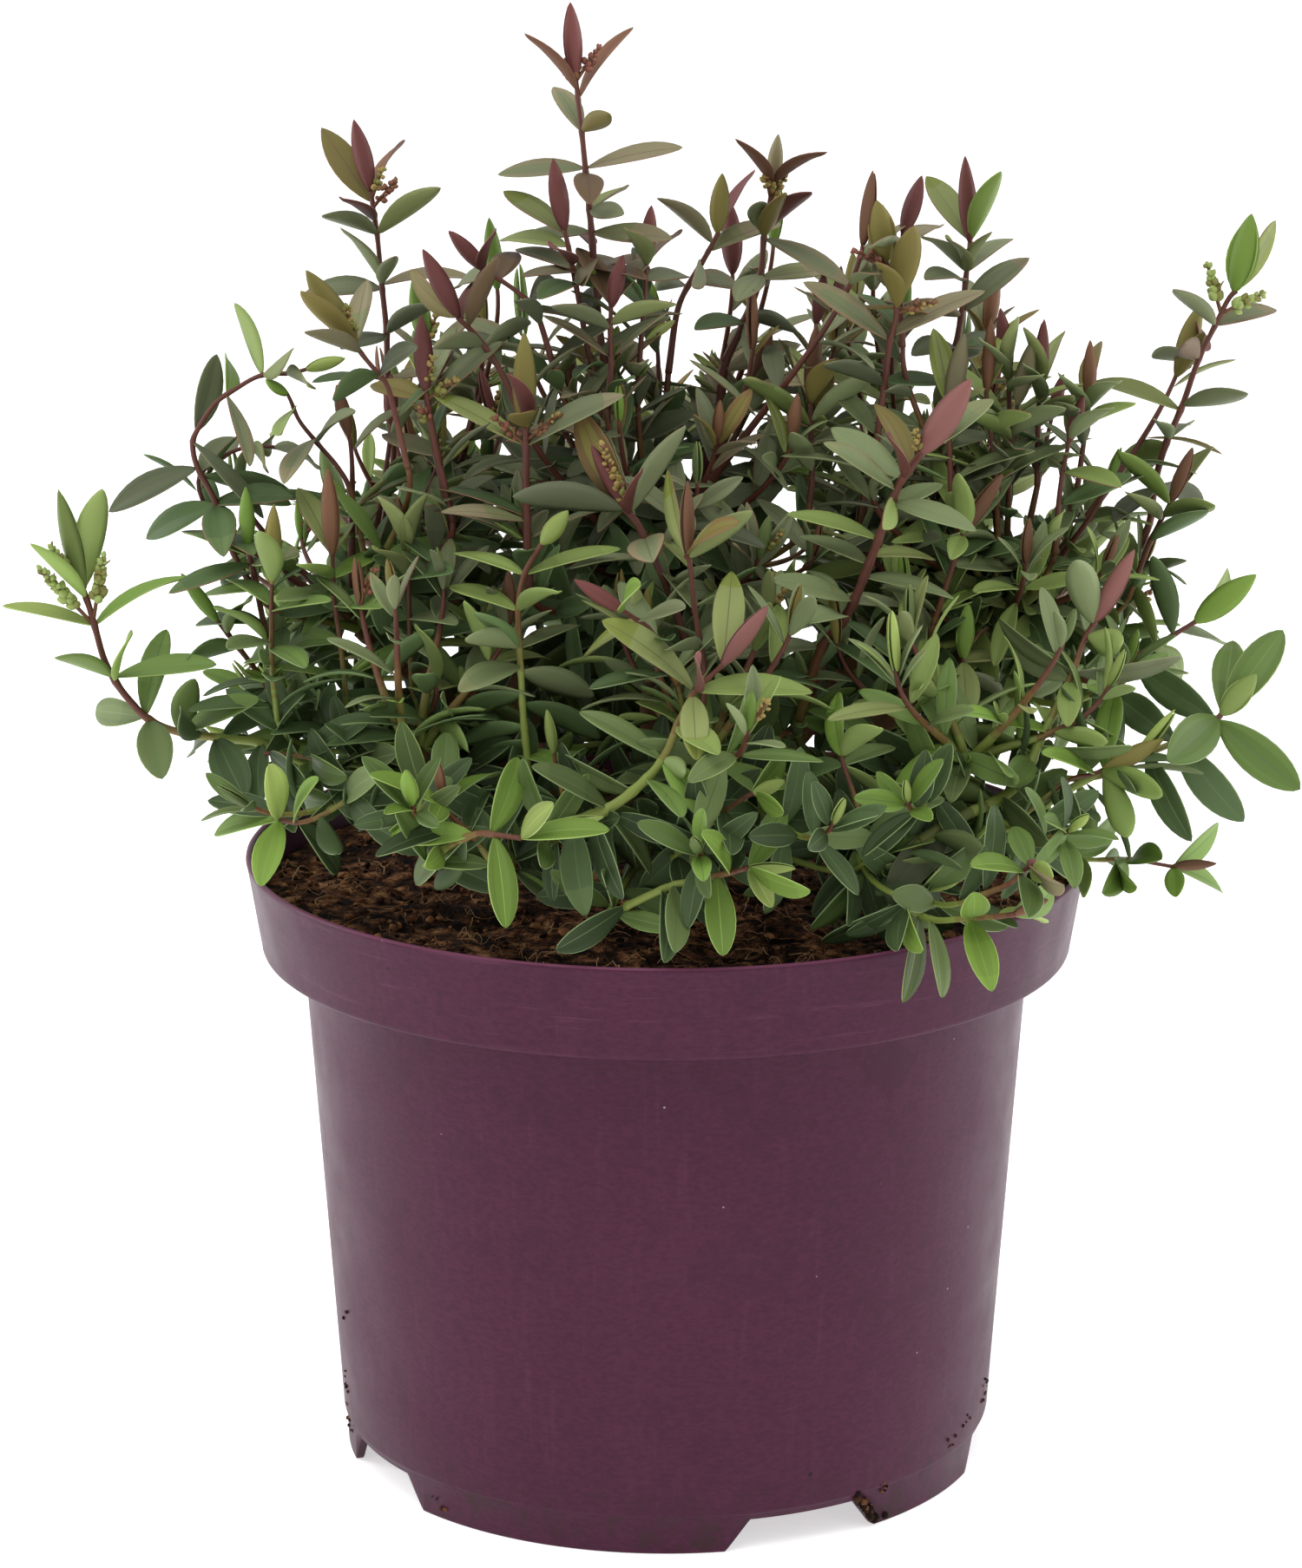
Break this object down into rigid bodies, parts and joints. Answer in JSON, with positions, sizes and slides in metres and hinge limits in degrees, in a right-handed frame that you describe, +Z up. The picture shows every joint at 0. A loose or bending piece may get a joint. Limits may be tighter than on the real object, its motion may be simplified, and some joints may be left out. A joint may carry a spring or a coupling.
{
  "type": "potted hebe shrub",
  "caption": "Bushy evergreen hebe shrub with upright leafy shoots, growing from a short stem in a round tapered nursery pot with a rim band and a notched foot.",
  "frame": {"origin": "on the ground under the pot's axis, at the middle of the plant's bounding box", "axes": "+Z up along the pot's axis; -Y is the front, the side seen in the reference view; +X to the right of it"},
  "size_m": [0.2539, 0.1938, 0.2973],
  "materials": {
    "pot": "moulded plum-purple plastic, soft satin sheen, light scuffs",
    "medium": "dark brown peaty growing medium with pale fibres, matt",
    "wood": "brown woody stem with leaf scars, matt",
    "young_wood": "red-brown young stem, slightly glossy",
    "foliage": "leathery grey-green leaves with pale margins, soft sheen",
    "shoots": "young leaves, fresh green to plum-purple, soft sheen"
  },
  "bodies": {
    "root": {"pot": "pot", "growing_medium": "medium", "stem": "wood", "bough_centre": "wood", "bough_front": "wood", "bough_front_left": "wood", "bough_left": "wood", "bough_back_left": "wood", "bough_back": "wood", "bough_back_right": "wood", "bough_right": "wood", "bough_front_right": "wood", "limb_leader": "young_wood", "limb_top_left": "young_wood", "limb_upper_left": "young_wood", "limb_left_lean": "young_wood", "limb_middle_right": "young_wood", "limb_top_right": "young_wood", "limb_right_arm": "young_wood", "limb_right_low": "young_wood", "limb_right_under": "young_wood", "limb_left_tip": "young_wood", "limb_back_peak": "young_wood", "limb_inner_left": "young_wood", "limb_inner_right": "young_wood", "foliage_centre": "foliage", "foliage_front": "foliage", "foliage_front_left": "foliage", "foliage_left": "foliage", "foliage_back_left": "foliage", "foliage_back": "foliage", "foliage_back_right": "foliage", "foliage_right": "foliage", "foliage_front_right": "foliage", "shoots_leader": "shoots", "shoots_top_left": "shoots", "shoots_upper_left": "shoots", "shoots_left_lean": "shoots", "shoots_left_curl": "shoots", "shoots_top_middle": "shoots", "shoots_middle_right": "shoots", "shoots_front_red": "shoots", "shoots_top_right": "shoots", "shoots_right": "shoots", "shoots_right_arm": "shoots", "shoots_right_middle": "shoots", "shoots_right_low": "shoots", "shoots_right_under": "shoots", "shoots_rim_right": "shoots", "shoots_left_tip": "shoots", "shoots_left_low": "shoots", "shoots_back_peak": "shoots", "shoots_back_left_peak": "shoots", "shoots_back_right_peak": "shoots", "shoots_back_low": "shoots", "shoots_inner_left": "shoots", "shoots_inner_right": "shoots"}
  },
  "joints": []
}
